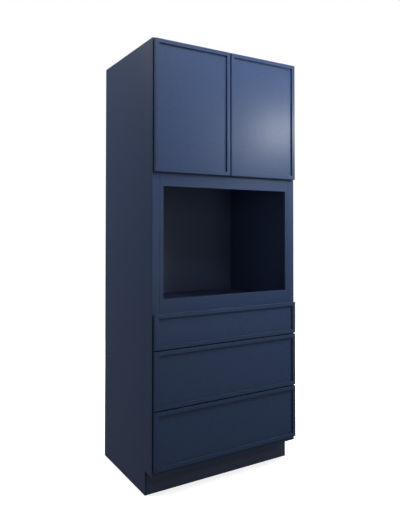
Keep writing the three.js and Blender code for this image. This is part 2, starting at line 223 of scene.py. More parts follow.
class EffectGroup(Wiring):
    """A shared effect's node group: one method for each effect wires it and names its outputs."""

    sheen_to_cloud: float = 7.0  # how much finer the sheen varies than the cloudiness
    peel_detail: float = 1.5
    outer_bend: Point = (0.51, 0.58)  # how far a surface bends, from nearly flat to an outer edge
    edge_left: Point = (0.35, 1.0)  # how much of an edge's rub the noise leaves
    sway_scale: float = 7.0
    sway_reach: Place = (6.0, 6.0, 6.0)
    figure_scale: float = 0.22
    pore_scale: float = 3.1
    pore_span: Point = (0.56, 0.7)  # the noise values at which a pore starts and is full
    edge_facing: Point = (0.3, 0.5)  # how far a side may turn to the board's face and still show layers
    cross_span: Point = (0.42, 0.58)  # where a layer with the grain goes over into one across it
    glue_span: Point = (0.03, 0.09)  # how far from the middle of a joint the glue thins out

    def __init__(self, effect: Effect, defaults: dict[str, object]) -> None:
        """Makes the group with its inputs.

        Args:
            effect: The effect.
            defaults: The inputs' own values, by name; a tuple makes a vector input.
        """
        super().__init__(bpy.data.node_groups.new(effect.value, "ShaderNodeTree"))
        for name, default in defaults.items():
            kind = "NodeSocketVector" if isinstance(default, tuple) else "NodeSocketFloat"
            socket = self.tree.interface.new_socket(name=name, in_out="INPUT", socket_type=kind)
            socket.default_value = default
        self.given = self.tree.nodes.new("NodeGroupInput").outputs
        self.place = self.add("TexCoord")["Object"]

    def put_out(self, outputs: dict[str, object]) -> None:
        """Gives the group its outputs.

        Args:
            outputs: The socket behind each output, by name.
        """
        for name in outputs:
            self.tree.interface.new_socket(name=name, in_out="OUTPUT", socket_type="NodeSocketFloat")
        end = self.tree.nodes.new("NodeGroupOutput")
        for name, socket in outputs.items():
            self.fill(end.inputs[name], socket)

    def paint_skin(self) -> dict[str, object]:
        """Sprayed paint: the fine peel of the film, a faint cloudiness and an uneven sheen.

        Returns:
            The outputs.
        """
        cloud_scale = self.given["Cloud Scale"]
        return {
            "Cloud": self.noise(self.place, cloud_scale, 3.0),
            "Sheen": self.noise(self.place, self.math("MULTIPLY", cloud_scale, self.sheen_to_cloud)),
            "Peel": self.noise(self.place, self.given["Peel Scale"], self.peel_detail),
        }

    def edge_rub(self) -> dict[str, object]:
        """The outer edges of a shape, broken up a little: rubbed plating on steel, and on paint thin paint
        plus a painted highlight where the edges catch light.

        Returns:
            The output.
        """
        outer = self.spread(self.add("NewGeometry")["Pointiness"], *self.outer_bend)
        noise = self.noise(self.place, self.given["Break Up"], 3.0)
        broken = self.spread(noise, *NOISE_SPAN, *self.edge_left)
        return {"Edge": self.math("MULTIPLY", outer, broken)}

    def wood_figure(self) -> dict[str, object]:
        """Birch veneer: broad figure, fine pores and the height of the pores.

        Returns:
            The outputs.
        """
        along = self.vector("MULTIPLY", self.place, self.given["Stretch"])[0]
        sway = self.add("TexNoise", Vector=self.place, Scale=self.sway_scale, Detail=2.0)["Color"]
        swayed = self.vector("MULTIPLY_ADD", sway, self.sway_reach, along)[0]
        pores = self.spread(self.noise(along, self.pore_scale), *self.pore_span)
        return {
            "Figure": self.spread(self.noise(swayed, self.figure_scale, 4.0), *NOISE_SPAN),
            "Pores": pores,
            "Height": self.math("SUBTRACT", 1.0, pores),
        }

    def ply_layers(self) -> dict[str, object]:
        """The veneer layers on a plywood board's edges: dark cross grain between thin glue lines.

        Returns:
            The outputs, which are 0 on the board's faces.
        """
        depth = self.vector("DOT_PRODUCT", self.place, self.given["Through"])["Value"]
        facing = self.vector("DOT_PRODUCT", self.add("TexCoord")["Normal"], self.given["Through"])["Value"]
        on_edge = self.spread(self.math("ABSOLUTE", facing), *self.edge_facing, 1.0, 0.0)
        layer = self.math("DIVIDE", self.math("SUBTRACT", depth, self.given["Start"]), self.given["Pitch"])
        pair = self.math("PINGPONG", layer, 1.0)
        to_glue = self.math("ABSOLUTE", self.math("SUBTRACT", pair, 0.5))
        return {
            "Cross": self.math("MULTIPLY", self.spread(pair, *self.cross_span), on_edge),
            "Glue": self.math("MULTIPLY", self.spread(to_glue, *self.glue_span, 1.0, 0.0), on_edge),
        }

    def rolled_steel(self) -> dict[str, object]:
        """Rolled or brushed sheet: fine streaks one way, and soft patches.

        Returns:
            The outputs.
        """
        along = self.vector("MULTIPLY", self.place, self.given["Stretch"])[0]
        return {
            "Streak": self.noise(along, 1.0),
            "Patch": self.noise(self.place, self.given["Patch Scale"]),
        }


def build_effects() -> None:
    """Builds each shared effect once."""
    recipes = {
        Effect.PAINT_SKIN: (EffectGroup.paint_skin, {"Peel Scale": 420.0, "Cloud Scale": 5.0}),
        Effect.EDGE_RUB: (EffectGroup.edge_rub, {"Break Up": 60.0}),
        Effect.WOOD_FIGURE: (EffectGroup.wood_figure, {"Stretch": (150.0, 6.0, 150.0)}),
        Effect.PLY_LAYERS: (
            EffectGroup.ply_layers, {"Through": (1.0, 0.0, 0.0), "Start": 0.0, "Pitch": 1.4 * MM}),
        Effect.ROLLED_STEEL: (
            EffectGroup.rolled_steel, {"Stretch": (2600.0, 30.0, 2600.0), "Patch Scale": 35.0}),
    }
    for effect, (recipe, defaults) in recipes.items():
        group = EffectGroup(effect, defaults)
        group.put_out(recipe(group))


@dataclass(frozen=True)
class Finish:
    """What all finishes share: a name and the record's material slot."""

    name: str
    slot: str

    def material(self) -> bpy.types.Material:
        """The finish's material, built on its first use.

        Returns:
            The material.
        """
        if self.name in bpy.data.materials:
            return bpy.data.materials[self.name]
        material = bpy.data.materials.new(self.name)
        material.use_nodes = True
        wiring = Wiring(material.node_tree)
        shader = material.node_tree.nodes["Principled BSDF"]
        for name, value in self.surface(wiring).items():
            wiring.fill(shader.inputs[name], value)
        return material

    def surface(self, wiring: Wiring) -> dict[str, object]:
        """What each input of the material's shader gets; every finish has its own."""
        raise NotImplementedError


@dataclass(frozen=True)
class PaintFinish(Finish):
    """Sprayed satin paint."""

    colour: Colour
    roughness: float
    specular: float
    sheen_range: float = 0.01
    peel: float = 0.14
    peel_height: float = 0.2 * MM
    cloud: float = 0.045
    # how much paler the paint's edges are: a painted highlight on the edges, plus thin paint
    edge_lift: float = 1.5
    edge_share: float = 0.35

    def surface(self, wiring: Wiring) -> dict[str, object]:
        """A clouded film with paler edges, which are partly painted highlight and partly thin paint, an
        uneven sheen and a fine peel.

        Args:
            wiring: The material's wiring.

        Returns:
            What each input of the shader gets.
        """
        skin = wiring.effect(Effect.PAINT_SKIN)
        dark, light = shaded(self.colour, 1 - self.cloud), shaded(self.colour, 1 + self.cloud)
        # paler edges: partly a painted highlight where the edges catch light, partly thin paint
        edge = wiring.math("MULTIPLY", wiring.effect(Effect.EDGE_RUB)["Edge"], self.edge_share)
        dull, bright = self.roughness - self.sheen_range, self.roughness + self.sheen_range
        return {
            "Base Color": wiring.mixed(
                edge, wiring.mixed(skin["Cloud"], dark, light), shaded(self.colour, self.edge_lift)),
            "Roughness": wiring.spread(skin["Sheen"], *NOISE_SPAN, dull, bright),
            "Specular IOR Level": self.specular,
            "Normal": wiring.bump(skin["Peel"], self.peel, self.peel_height),
        }


@dataclass(frozen=True)
class PlywoodFinish(Finish):
    """Clear lacquered birch plywood, with its grain along one axis."""

    grain: Axis
    through: Axis
    layers_start: float
    layer_pitch: float = 1.4 * MM
    pale: Colour = (0.68, 0.50, 0.30)
    deep: Colour = (0.55, 0.37, 0.20)
    cross_colour: Colour = (0.42, 0.26, 0.13)
    glue_colour: Colour = (0.16, 0.09, 0.05)
    stretch: Point = (6.0, 150.0)
    pore_share: float = 0.35
    pore_bump: Point = (0.15, 0.1 * MM)
    specular: float = 0.35
    roughness: Point = (0.42, 0.52)

    def surface(self, wiring: Wiring) -> dict[str, object]:
        """Grained faces, and layers on the edges.

        Args:
            wiring: The material's wiring.

        Returns:
            What each input of the shader gets.
        """
        wood = wiring.effect(Effect.WOOD_FIGURE, Stretch=self.grain.split(*self.stretch))
        ply = wiring.effect(
            Effect.PLY_LAYERS,
            Through=self.through.split(1.0, 0.0), Start=self.layers_start, Pitch=self.layer_pitch)
        face = wiring.mixed(wood["Figure"], shaded(self.pale), shaded(self.deep))
        pores = wiring.math("MULTIPLY", wood["Pores"], self.pore_share)
        pored = wiring.mixed(pores, face, shaded(self.cross_colour))
        crossed = wiring.mixed(ply["Cross"], pored, shaded(self.cross_colour))
        return {
            "Base Color": wiring.mixed(ply["Glue"], crossed, shaded(self.glue_colour)),
            "Roughness": wiring.spread(wood["Figure"], 0.0, 1.0, *self.roughness),
            "Specular IOR Level": self.specular,
            "Normal": wiring.bump(wood["Height"], *self.pore_bump),
        }


@dataclass(frozen=True)
class SteelFinish(Finish):
    """Plated sheet steel with fine rolling marks."""

    colour: Colour
    roughness: float
    rolled: Axis = Axis.Y
    stretch: Point = (30.0, 2600.0)
    patch_tones: Point = (0.92, 1.06)
    streak_sheen: Point = (-0.03, 0.05)
    streak_bump: Point = (0.05, 0.02 * MM)
    edge_scale: float = 180.0
    edge_share: float = 0.4
    edge_lift: float = 1.25

    def surface(self, wiring: Wiring) -> dict[str, object]:
        """Patchy plate with streaks and rubbed edges.

        Args:
            wiring: The material's wiring.

        Returns:
            What each input of the shader gets.
        """
        steel = wiring.effect(Effect.ROLLED_STEEL, Stretch=self.rolled.split(*self.stretch))
        plated = wiring.mixed(steel["Patch"], *(shaded(self.colour, tone) for tone in self.patch_tones))
        rubbed = wiring.effect(Effect.EDGE_RUB, Break_Up=self.edge_scale)["Edge"]
        edge = wiring.math("MULTIPLY", rubbed, self.edge_share)
        return {
            "Base Color": wiring.mixed(edge, plated, shaded(self.colour, self.edge_lift)),
            "Metallic": 1.0,
            "Roughness": wiring.spread(
                steel["Streak"], *NOISE_SPAN, *(self.roughness + sheen for sheen in self.streak_sheen)),
            "Normal": wiring.bump(steel["Streak"], *self.streak_bump),
        }


def filleted(corners: Sequence[Point], radius: float | Sequence[float], steps: int = 5) -> list[Point]:
    """Rounds the corners of a closed outline.

    Args:
        corners: The outline's corners, in order.
        radius: One radius, or one for each corner.
        steps: How many straight pieces an arc has.

    Returns:
        The rounded outline.
    """
    radii = [radius] * len(corners) if isinstance(radius, float) else radius
    outline: list[Point] = []
    for index, (corner, bend) in enumerate(zip(corners, radii)):
        here = Vector(corner)
        back = (Vector(corners[index - 1]) - here).normalized()
        ahead = (Vector(corners[(index + 1) % len(corners)]) - here).normalized()
        half = back.angle(ahead) / 2
        centre = here + (back + ahead).normalized() * (bend / math.sin(half))
        first, last = (here + way * (bend / math.tan(half)) - centre for way in (back, ahead))
        turn = first.angle_signed(last)
        for step in range(steps + 1):
            outline.append(tuple(centre + Matrix.Rotation(-turn * step / steps, 2) @ first))
    return outline


def rounded(low: Point, high: Point, radius: float | Sequence[float]) -> list[Point]:
    """The outline of a rectangle with rounded corners."""
    return filleted([low, (high[0], low[1]), high, (low[0], high[1])], radius)


def circle(centre: Point, radius: float, sides: int) -> list[Point]:
    """The corners of a regular many-sided outline."""
    turns = [2 * math.pi * index / sides for index in range(sides)]
    return [(centre[0] + radius * math.cos(turn), centre[1] + radius * math.sin(turn)) for turn in turns]


def add_object(name: str, data: bpy.types.ID) -> bpy.types.Object:
    """Adds an object to the scene.

    Args:
        name: Its name.
        data: Its mesh, lamp or camera.

    Returns:
        The object.
    """
    thing = bpy.data.objects.new(name, data)
    bpy.context.scene.collection.objects.link(thing)
    return thing


class Draft:
    """A closed shape in the making."""

    def __init__(self) -> None:
        """Starts empty."""
        self.mesh = bmesh.new()

    def made(self, name: str) -> bpy.types.Mesh:
        """Makes a mesh of the shape so far.

        Args:
            name: The mesh's name.

        Returns:
            The mesh.
        """
        mesh = bpy.data.meshes.new(name)
        self.mesh.to_mesh(mesh)
        return mesh

    def block(self, low: Sequence[float], high: Sequence[float]) -> Draft:
        """Adds a rectangular block.

        Args:
            low: Its lowest corner.
            high: Its highest corner.

        Returns:
            The draft itself.
        """
        low, high = Vector(low), Vector(high)
        for corner in bmesh.ops.create_cube(self.mesh, size=1.0)["verts"]:
            corner.co = (low + high) / 2 + corner.co * (high - low)
        return self

    def skin(self, rings: Iterable[Iterable[Vector]]) -> Draft:
        """Adds a closed skin over a row of rings.

        Args:
            rings: The corners of each ring, as many in one as in the next.

        Returns:
            The draft itself.
        """
        placed = [[self.mesh.verts.new(corner) for corner in ring] for ring in rings]
        faces = [self.mesh.faces.new(placed[0]), self.mesh.faces.new(placed[-1])]
        for ring, following in zip(placed, placed[1:]):
            for index in range(len(ring)):
                after = (index + 1) % len(ring)
                faces.append(self.mesh.faces.new(
                    (ring[index], ring[after], following[after], following[index])))
        bmesh.ops.recalc_face_normals(self.mesh, faces=faces)
        return self

    def prism(self, axis: Axis, outline: Sequence[Point], start: float, end: float) -> Draft:
        """Adds a straight prism along an axis, from its outline on the other two."""
        return self.skin([axis.point(at, corner) for corner in outline] for at in (start, end))

    def bar(self, axis: Axis, centre: Point, radius: float, start: float, end: float, sides: int) -> Draft:
        """Adds a round bar along an axis."""
        return self.prism(axis, circle(centre, radius, sides), start, end)

    def turned(self, axis: Axis, centre: Point, profile: Sequence[Point], sides: int) -> Draft:
        """Adds a turned shape, from pairs of radius and place along its axis."""
        return self.skin(
            [axis.point(at, spot) for spot in circle(centre, wide, sides)] for wide, at in profile)

    def with_copy(self, other: Draft, move: Matrix = Matrix.Identity(4)) -> Draft:
        """Adds a copy of another draft's shape.

        Args:
            other: The draft to copy.
            move: Where the copy goes.

        Returns:
            The draft itself.
        """
        mesh = other.made("copy")
        mesh.transform(move)
        self.mesh.from_mesh(mesh)
        bpy.data.meshes.remove(mesh)
        return self

    def ease(self, offset: float, steps: int = 3, chosen: Callable | None = None) -> Draft:
        """Rounds the sharp edges.

        Args:
            offset: How far the rounding reaches on each face.
            steps: How many faces it has.
            chosen: Says of an edge whether it is rounded, or None for every sharp one.

        Returns:
            The draft itself.
        """
        sharp = [
            edge for edge in self.mesh.edges
            if edge.is_manifold and edge.calc_face_angle() > SHARP
            and (chosen is None or chosen(edge))]
        bmesh.ops.bevel(
            self.mesh, geom=sharp, offset=offset, offset_type="OFFSET", segments=steps,
            profile=0.5, affect="EDGES", clamp_overlap=True)
        return self

    def cut(self, cutter: Draft) -> Draft:
        """Takes another shape away."""
        return self._combine(cutter, "DIFFERENCE")

    def join(self, other: Draft) -> Draft:
        """Joins another shape on."""
        return self._combine(other, "UNION")

    def _combine(self, other: Draft, operation: str) -> Draft:
        """Runs an exact boolean with another draft.

        Args:
            other: The other draft.
            operation: The boolean's name.

        Returns:
            The draft itself.
        """
        worked, tool = (add_object("work", draft.made("work")) for draft in (self, other))
        step = worked.modifiers.new("step", "BOOLEAN")
        step.object, step.operation, step.solver = tool, operation, "EXACT"
        step.use_self = operation == "UNION"
        graph = bpy.context.evaluated_depsgraph_get()
        result = bpy.data.meshes.new_from_object(worked.evaluated_get(graph))
        self.mesh.clear()
        self.mesh.from_mesh(result)
        bmesh.ops.dissolve_limit(
            self.mesh, angle_limit=FLAT, verts=self.mesh.verts, edges=self.mesh.edges)
        for mesh in (worked.data, tool.data, result):
            bpy.data.meshes.remove(mesh)
        return self


def eased_block(low: Sequence[float], high: Sequence[float], offset: float) -> Draft:
    """A block with rounded edges."""
    return Draft().block(low, high).ease(offset)


def box_of(node: str) -> tuple[Vector, Vector]:
    """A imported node's lowest and highest corners at rest."""
    low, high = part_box(node)
    return Vector(low), Vector(high)


def middle(low: Vector, high: Vector) -> Vector:
    """The point between two corners."""
    return (low + high) / 2


def fit(name: str, draft: Draft, body: str, finish: Finish, stands_for: Iterable[str] = ()) -> None:
    """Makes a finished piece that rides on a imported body.

    Args:
        name: The piece's name.
        draft: Its shape.
        body: The body that it rides on.
        finish: Its finish.
        stands_for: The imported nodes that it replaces.
    """
    mesh = draft.made(name)
    mesh.polygons.foreach_set("use_smooth", [True] * len(mesh.polygons))
    mesh.set_sharp_from_angle(angle=SMOOTH)
    mesh.materials.append(finish.material())
    piece = add_object(name, mesh)
    piece.modifiers.new("flat_faces", "WEIGHTED_NORMAL").keep_sharp = True
    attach(piece, body)
    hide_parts(*stands_for)
    log.info("%s: %d faces, on %s", name, len(mesh.polygons), body)


@dataclass(frozen=True)
class CrossHeadScrew:
    """The head of a screw, with its cross recess, drawn round the origin along +Z."""

    radius: float
    height: float
    recess_depth: float = 1.0 * MM
    dome_steps: int = 5
    crown_share: float = 0.12
    arm_share: float = 0.56
    slot_share: float = 0.13
    floor_share: float = 0.15
    sides: int = 24

    def draft(self) -> Draft:
        """Builds the head, from Z = 0 up.

        Returns:
            The shape.
        """
        turns = [math.pi / 2 * step / self.dome_steps for step in range(self.dome_steps)]
        dome = [(self.radius * math.cos(turn), self.height * math.sin(turn)) for turn in turns]
        crown = (self.radius * self.crown_share, self.height)
        head = Draft().turned(Axis.Z, (0.0, 0.0), [*dome, crown], self.sides)
        arm, width, above = self.radius * self.arm_share, self.radius * self.slot_share, self.height * 2
        floor = max(self.height - self.recess_depth, self.height * self.floor_share)
        recess = Draft().block((-arm, -width, floor), (arm, width, above))
        return head.cut(recess.join(Draft().block((-width, -arm, floor), (width, arm, above))))

    def placed(self, places: Iterable[Vector], outward: Vector) -> Draft:
        """Copies of the head.

        Args:
            places: The middle of each head's seat.
            outward: The direction that the heads face.

        Returns:
            All the heads in one draft.
        """
        head, heads = self.draft(), Draft()
        turn = Axis.Z.unit.rotation_difference(outward).to_matrix().to_4x4()
        for place in places:
            heads.with_copy(head, Matrix.Translation(place) @ turn)
        return heads


@dataclass(frozen=True)
class HingeCup:
    """The cup half of a concealed hinge, let into a door's back."""

    cup_radius: float = 17.2 * MM
    cup_wall: float = 1.0 * MM
    cup_sides: int = 56
    floor_bend: float = 2.0 * MM
    floor_chamfer: float = 0.6 * MM
    flange_radius: float = 19.0 * MM
    flange_thickness: float = 1.0 * MM
    wing_width: float = 15.0 * MM
    arc_steps: int = 12
    edge: float = 0.25 * MM
    link_reach: float = 10.0 * MM
    link_half: float = 5.5 * MM
    link_steel: float = 1.4 * MM
    link_edge: float = 0.2 * MM
    cheek_corner: float = 2.2 * MM
    cheek_ends: Point = (0.3 * MM, 0.1 * MM)
    bridge_half: Point = (7.0 * MM, 4.6 * MM)
    bridge_depth: Point = (0.6 * MM, 1.9 * MM)
    pin_radius: float = 1.3 * MM
    pin_place: float = 6.4 * MM
    pin_sides: int = 20
    screw_spacing: float = 48.0 * MM
    screw_drop: float = 0.05 * MM
    sink_radius: float = 3.5 * MM
    sink_steel: float = 0.3 * MM
    sink_sides: int = 28
    screw: CrossHeadScrew = CrossHeadScrew(3.1 * MM, 0.9 * MM, 0.8 * MM)

    def draft(self, node: str) -> Draft:
        """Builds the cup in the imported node's place.

        Args:
            node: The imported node.

        Returns:
            The shape.
        """
        low, high = box_of(node)
        centre, mouth, floor = middle(low, high), high.y, low.y + self.cup_wall
        at, flange_low = (centre.x, centre.z), mouth - self.flange_thickness
        cup = Draft().prism(Axis.Y, self._flange(at, (high.z - low.z) / 2), flange_low, mouth)
        cup.join(self._well(at, self.cup_radius, low.y, mouth - INTO))
        cup.cut(self._well(at, self.cup_radius - self.cup_wall, floor, mouth + PAST))
        seats = [Vector((centre.x, mouth, centre.z + way * self.screw_spacing / 2)) for way in (-1, 1)]
        sink = (self.sink_radius, flange_low + self.sink_steel, mouth + PAST, self.sink_sides)
        for seat in seats:
            cup.cut(Draft().bar(Axis.Y, (seat.x, seat.z), *sink))
        cup.ease(self.edge, 2).with_copy(self._link(centre, floor, mouth))
        drop = Vector((0, self.screw.height + self.screw_drop, 0))
        return cup.with_copy(self.screw.placed([seat - drop for seat in seats], Axis.Y.unit))

    def _well(self, at: Point, radius: float, floor: float, top: float) -> Draft:
        """A round well with a rounded floor.

        Args:
            at: Its middle.
            radius: Its radius.
            floor: Y of its floor.
            top: Y of its top.

        Returns:
            The shape.
        """
        bends = ((self.floor_bend, 0.0), (self.floor_chamfer, self.floor_chamfer), (0.0, self.floor_bend))
        profile = [*((radius - inset, floor + up) for inset, up in bends), (radius, top)]
        return Draft().turned(Axis.Y, at, profile, self.cup_sides)

    def _flange(self, at: Point, half_length: float) -> list[Point]:
        """The outline of the flange: a round with a rounded wing above and below it.

        Args:
            at: The cup's middle.
            half_length: How far each wing reaches.

        Returns:
            The outline.
        """
        wing, steps = self.wing_width / 2, self.arc_steps
        edge = math.acos(wing / self.flange_radius)
        arcs = []
        for way, facing in ((1, 0.0), (-1, math.pi)):
            arcs += [
                (self.flange_radius, 0.0, facing - edge + 2 * edge * step / steps)
                for step in range(steps + 1)]
            tip = way * (half_length - wing)
            arcs += [(wing, tip, facing + math.pi * step / steps) for step in range(1, steps)]
        return [
            (at[0] + radius * math.cos(turn), at[1] + (rise + radius * math.sin(turn)))
            for radius, rise, turn in arcs]

    def _link(self, centre: Vector, floor: float, mouth: float) -> Draft:
        """The folded link inside the cup, with its two cross pins.

        Args:
            centre: The cup's middle.
            floor: Y of the cup's floor.
            mouth: Y of its mouth.

        Returns:
            The shape.
        """
        reach, depth, link = self.link_reach, (floor + mouth) / 2, Draft()
        bottom, top = floor - self.cheek_ends[0], mouth - self.cheek_ends[1]
        cheek = rounded((centre.x - reach, bottom), (centre.x + reach, top), self.cheek_corner)
        for start in (centre.z - self.link_half, centre.z + self.link_half - self.link_steel):
            link.prism(Axis.Z, cheek, start, start + self.link_steel)
        (wide, tall), (near, far) = self.bridge_half, self.bridge_depth
        link.join(Draft().block(
            (centre.x - wide, depth + near, centre.z - tall),
            (centre.x + wide, depth + far, centre.z + tall)))
        half = self.link_half - INTO
        for along in (-self.pin_place, self.pin_place):
            spot = (centre.x + along, depth)
            pin = Draft().bar(Axis.Z, spot, self.pin_radius, centre.z - half, centre.z + half, self.pin_sides)
            link.join(pin)
        return link.ease(self.link_edge, 2)


@dataclass(frozen=True)
class HingeBase:
    """The base half of a concealed hinge, screwed to a stile's inner edge."""

    plate_thickness: float = 2.0 * MM
    plate_corner: float = 5.0 * MM
    plate_inset: float = 0.3 * MM
    arm_half: float = 8.0 * MM
    arm_corner: float = 3.0 * MM
    nose_radius: float = 6.0 * MM
    nose_ahead: float = 0.3 * MM
    nose_sides: int = 48
    slot_ends: Point = (8.0 * MM, 1.5 * MM)
    slot_half: float = 0.6 * MM
    slot_depth: float = 1.2 * MM
    edge: float = 0.35 * MM
    screw_spacing: float = 42.0 * MM
    screw: CrossHeadScrew = CrossHeadScrew(3.6 * MM, 1.7 * MM)
    setting_place: Point = (5.0 * MM, 4.2 * MM)
    setting_screw: CrossHeadScrew = CrossHeadScrew(2.7 * MM, 0.8 * MM, 0.7 * MM)

    def draft(self, node: str, side: Side) -> Draft:
        """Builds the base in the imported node's place.

        Args:
            node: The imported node.
            side: The side of the cabinet that it is on.

        Returns:
            The shape.
        """
        low, high = box_of(node)
        centre, inward, front, back = middle(low, high), -side.sign, low.y, high.y
        wall, tip = side.outer_and_inner(low, high)
        face = wall + inward * self.plate_thickness
        plate = rounded((front, low.z), (back - self.plate_inset, high.z), self.plate_corner)
        base = Draft().prism(Axis.X, plate, wall, face)
        arm = rounded(
            (front, centre.z - self.arm_half), (back, centre.z + self.arm_half),
            [CRISP, self.arm_corner, self.arm_corner, CRISP])
        base.join(Draft().prism(Axis.X, arm, wall + inward * INTO, tip))
        nose = (tip, front - self.nose_ahead)
        base.cut(Draft().bar(Axis.Z, nose, self.nose_radius, low.z, high.z, self.nose_sides))
        ends = sorted((tip - inward * self.slot_depth, tip + inward * PAST))
        base.cut(Draft().block(
            (ends[0], front + self.slot_ends[0], centre.z - self.slot_half),
            (ends[1], back - self.slot_ends[1], centre.z + self.slot_half))).ease(self.edge, 2)
        outward, half = Vector((inward, 0, 0)), self.screw_spacing / 2
        seats = [Vector((face, centre.y, centre.z + way * half)) for way in (-1, 1)]
        base.with_copy(self.screw.placed(seats, outward))
        sunk = tip - inward * self.setting_screw.height
        seat = Vector((sunk, back - self.setting_place[0], centre.z + self.setting_place[1]))
        return base.with_copy(self.setting_screw.placed([seat], outward))


@dataclass(frozen=True)
class ShelfPin:
    """A pressed shelf support: a peg, a back plate and a rest."""

    peg_radius: float = 2.2 * MM
    peg_chamfer: Point = (0.6 * MM, 0.8 * MM)
    peg_into: float = 0.4 * MM
    peg_sides: int = 24
    plate_thickness: float = 2.0 * MM
    plate_corners: Sequence[float] = (3.5 * MM, 3.5 * MM, 0.4 * MM, 0.4 * MM)
    rest_reach: float = 8.0 * MM
    rest_height: float = 4.4 * MM
    rest_corner: float = 3.0 * MM
    edge: float = 0.3 * MM

    def draft(self, node: str, side: Side) -> Draft:
        """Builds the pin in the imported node's place.

        Args:
            node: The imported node.
            side: The side of the cabinet that it is on.

        Returns:
            The shape.
        """
        low, high = box_of(node)
        centre, inward, radius = middle(low, high), -side.sign, self.peg_radius
        wall, tip = side.outer_and_inner(low, high)
        plate_wall = tip - inward * self.rest_reach
        plate_face = plate_wall + inward * self.plate_thickness
        plate = rounded((low.y, low.z), (high.y, high.z), self.plate_corners)
        pin = Draft().prism(Axis.X, plate, plate_wall, plate_face)
        ends = sorted((plate_wall + inward * INTO, tip))
        near, far = side.pick((CRISP, self.rest_corner), (self.rest_corner, CRISP))
        rest = rounded((ends[0], low.y), (ends[1], high.y), [near, far, far, near])
        pin.join(Draft().prism(Axis.Z, rest, high.z - self.rest_height, high.z))
        narrow, long = self.peg_chamfer
        profile = [
            (radius - narrow, wall), (radius, wall + inward * long),
            (radius, plate_face - inward * self.peg_into)]
        peg = Draft().turned(Axis.X, (centre.y, high.z - radius), profile, self.peg_sides)
        return pin.join(peg).ease(self.edge, 2)


@dataclass(frozen=True)
class Runner:
    """One folded steel member of a drawer runner."""

    steel: float = 1.5 * MM
    bend: float = 2.2 * MM
    bend_steps: int = 4
    lip_corner: float = 0.3 * MM
    slot_after: float = 26.0 * MM
    slot_length: float = 16.0 * MM
    slot_half: float = 2.4 * MM
    slot_corner: float = 2.39 * MM
    bracket_steel: float = 2.3 * MM
    bracket_corner: float = 1.5 * MM
    screw_margin: float = 36.0 * MM
    screw_count: int = 3
    screw: CrossHeadScrew = CrossHeadScrew(3.8 * MM, 1.7 * MM)

    def draft(self, node: str, web_x: float, lip_x: float, bracket: float = 0.0) -> Draft:
        """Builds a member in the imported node's place.

        Args:
            node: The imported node.
            web_x: X of the web's outer face.
            lip_x: X of the lips' free edges.
            bracket: The width of the plate turned in at the back, or 0 for none.

        Returns:
            The shape.
        """
        low, high = box_of(node)
        centre, way = middle(low, high), math.copysign(1.0, lip_x - web_x)
        inside = web_x + way * self.steel
        corners = [
            (web_x, low.z), (lip_x, low.z), (lip_x, low.z + self.steel), (inside, low.z + self.steel),
            (inside, high.z - self.steel), (lip_x, high.z - self.steel), (lip_x, high.z), (web_x, high.z)]
        half = [self.bend, self.lip_corner, self.lip_corner, self.bend - self.steel]
        channel = Draft().prism(Axis.Y, filleted(corners, half + half[::-1], self.bend_steps), low.y, high.y)
        first, pitch = low.y + self.screw_margin, high.y - low.y - 2 * self.screw_margin
        places = [first + step * pitch / (self.screw_count - 1) for step in range(self.screw_count)]
        for start in (place + self.slot_after for place in places[:-1]):
            slot = rounded(
                (start, centre.z - self.slot_half), (start + self.slot_length, centre.z + self.slot_half),
                self.slot_corner)
            channel.cut(Draft().prism(Axis.X, slot, *sorted((web_x - way * PAST, inside + way * PAST))))
        if bracket:
            near, far = sorted((web_x, web_x + way * bracket))
            tab = rounded((near, low.z), (far, high.z), self.bracket_corner)
            channel.join(Draft().prism(Axis.Y, tab, high.y - self.bracket_steel, high.y))
        seats = [Vector((inside, place, centre.z)) for place in places]
        return channel.with_copy(self.screw.placed(seats, Vector((way, 0, 0))))


@dataclass(frozen=True)
class Finishes:
    """The finishes of the whole unit."""

    paint: PaintFinish = PaintFinish(
        "navy_satin_paint", "navy_paint", (0.035, 0.056, 0.116), roughness=0.34, specular=0.10)
    inside: PaintFinish = PaintFinish(
        "navy_inside_paint", "inside_paint", (0.033, 0.053, 0.110), roughness=0.42, specular=0.22)
    # a greyer copy of the navy for the back and top panels: the grey is a painted reflection of light on the
    # back panel
    back: PaintFinish = PaintFinish(
        "navy_carcass_paint", "navy_paint", (0.038, 0.055, 0.107), roughness=0.42, specular=0.30)
    # a darker copy of the inside navy: painted shade on the oven deck, which lies in the bay's shade
    deck: PaintFinish = PaintFinish(
        "navy_deck_paint", "inside_paint", (0.021, 0.033, 0.064), roughness=0.50, specular=0.15)
    kick: PaintFinish = PaintFinish(
        "navy_kick_paint", "navy_paint", (0.047, 0.062, 0.112), roughness=0.46, specular=0.34, cloud=0.08)
    zinc: SteelFinish = SteelFinish("zinc_plate", "zinc_steel", (0.60, 0.62, 0.64), roughness=0.34)
    nickel: SteelFinish = SteelFinish("nickel_plate", "nickel_steel", (0.74, 0.72, 0.67), 0.28, Axis.Z)

    @staticmethod
    def plywood(grain: Axis, through: Axis, start: float) -> PlywoodFinish:
        """Birch plywood with its grain and thickness along two axes, and one face at start."""
        name = f"birch_ply_{grain.name}{through.name}_{abs(round(start / MM))}{'r' if start > 0 else 'l'}"
        return PlywoodFinish(name.lower(), "birch_plywood", grain, through, start)


@dataclass(frozen=True, kw_only=True)
class Assembly:
    """A sub-assembly of the unit, which makes its own pieces."""

    finishes: Finishes = Finishes()

    def build(self) -> None:
        """Makes the pieces."""
        raise NotImplementedError

    @staticmethod
    def board(node: str, edge: float, finish: Finish) -> None:
        """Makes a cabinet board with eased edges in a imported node's place."""
        fit(f"{node}_eased", eased_block(*box_of(node), edge), CABINET, finish, [node])


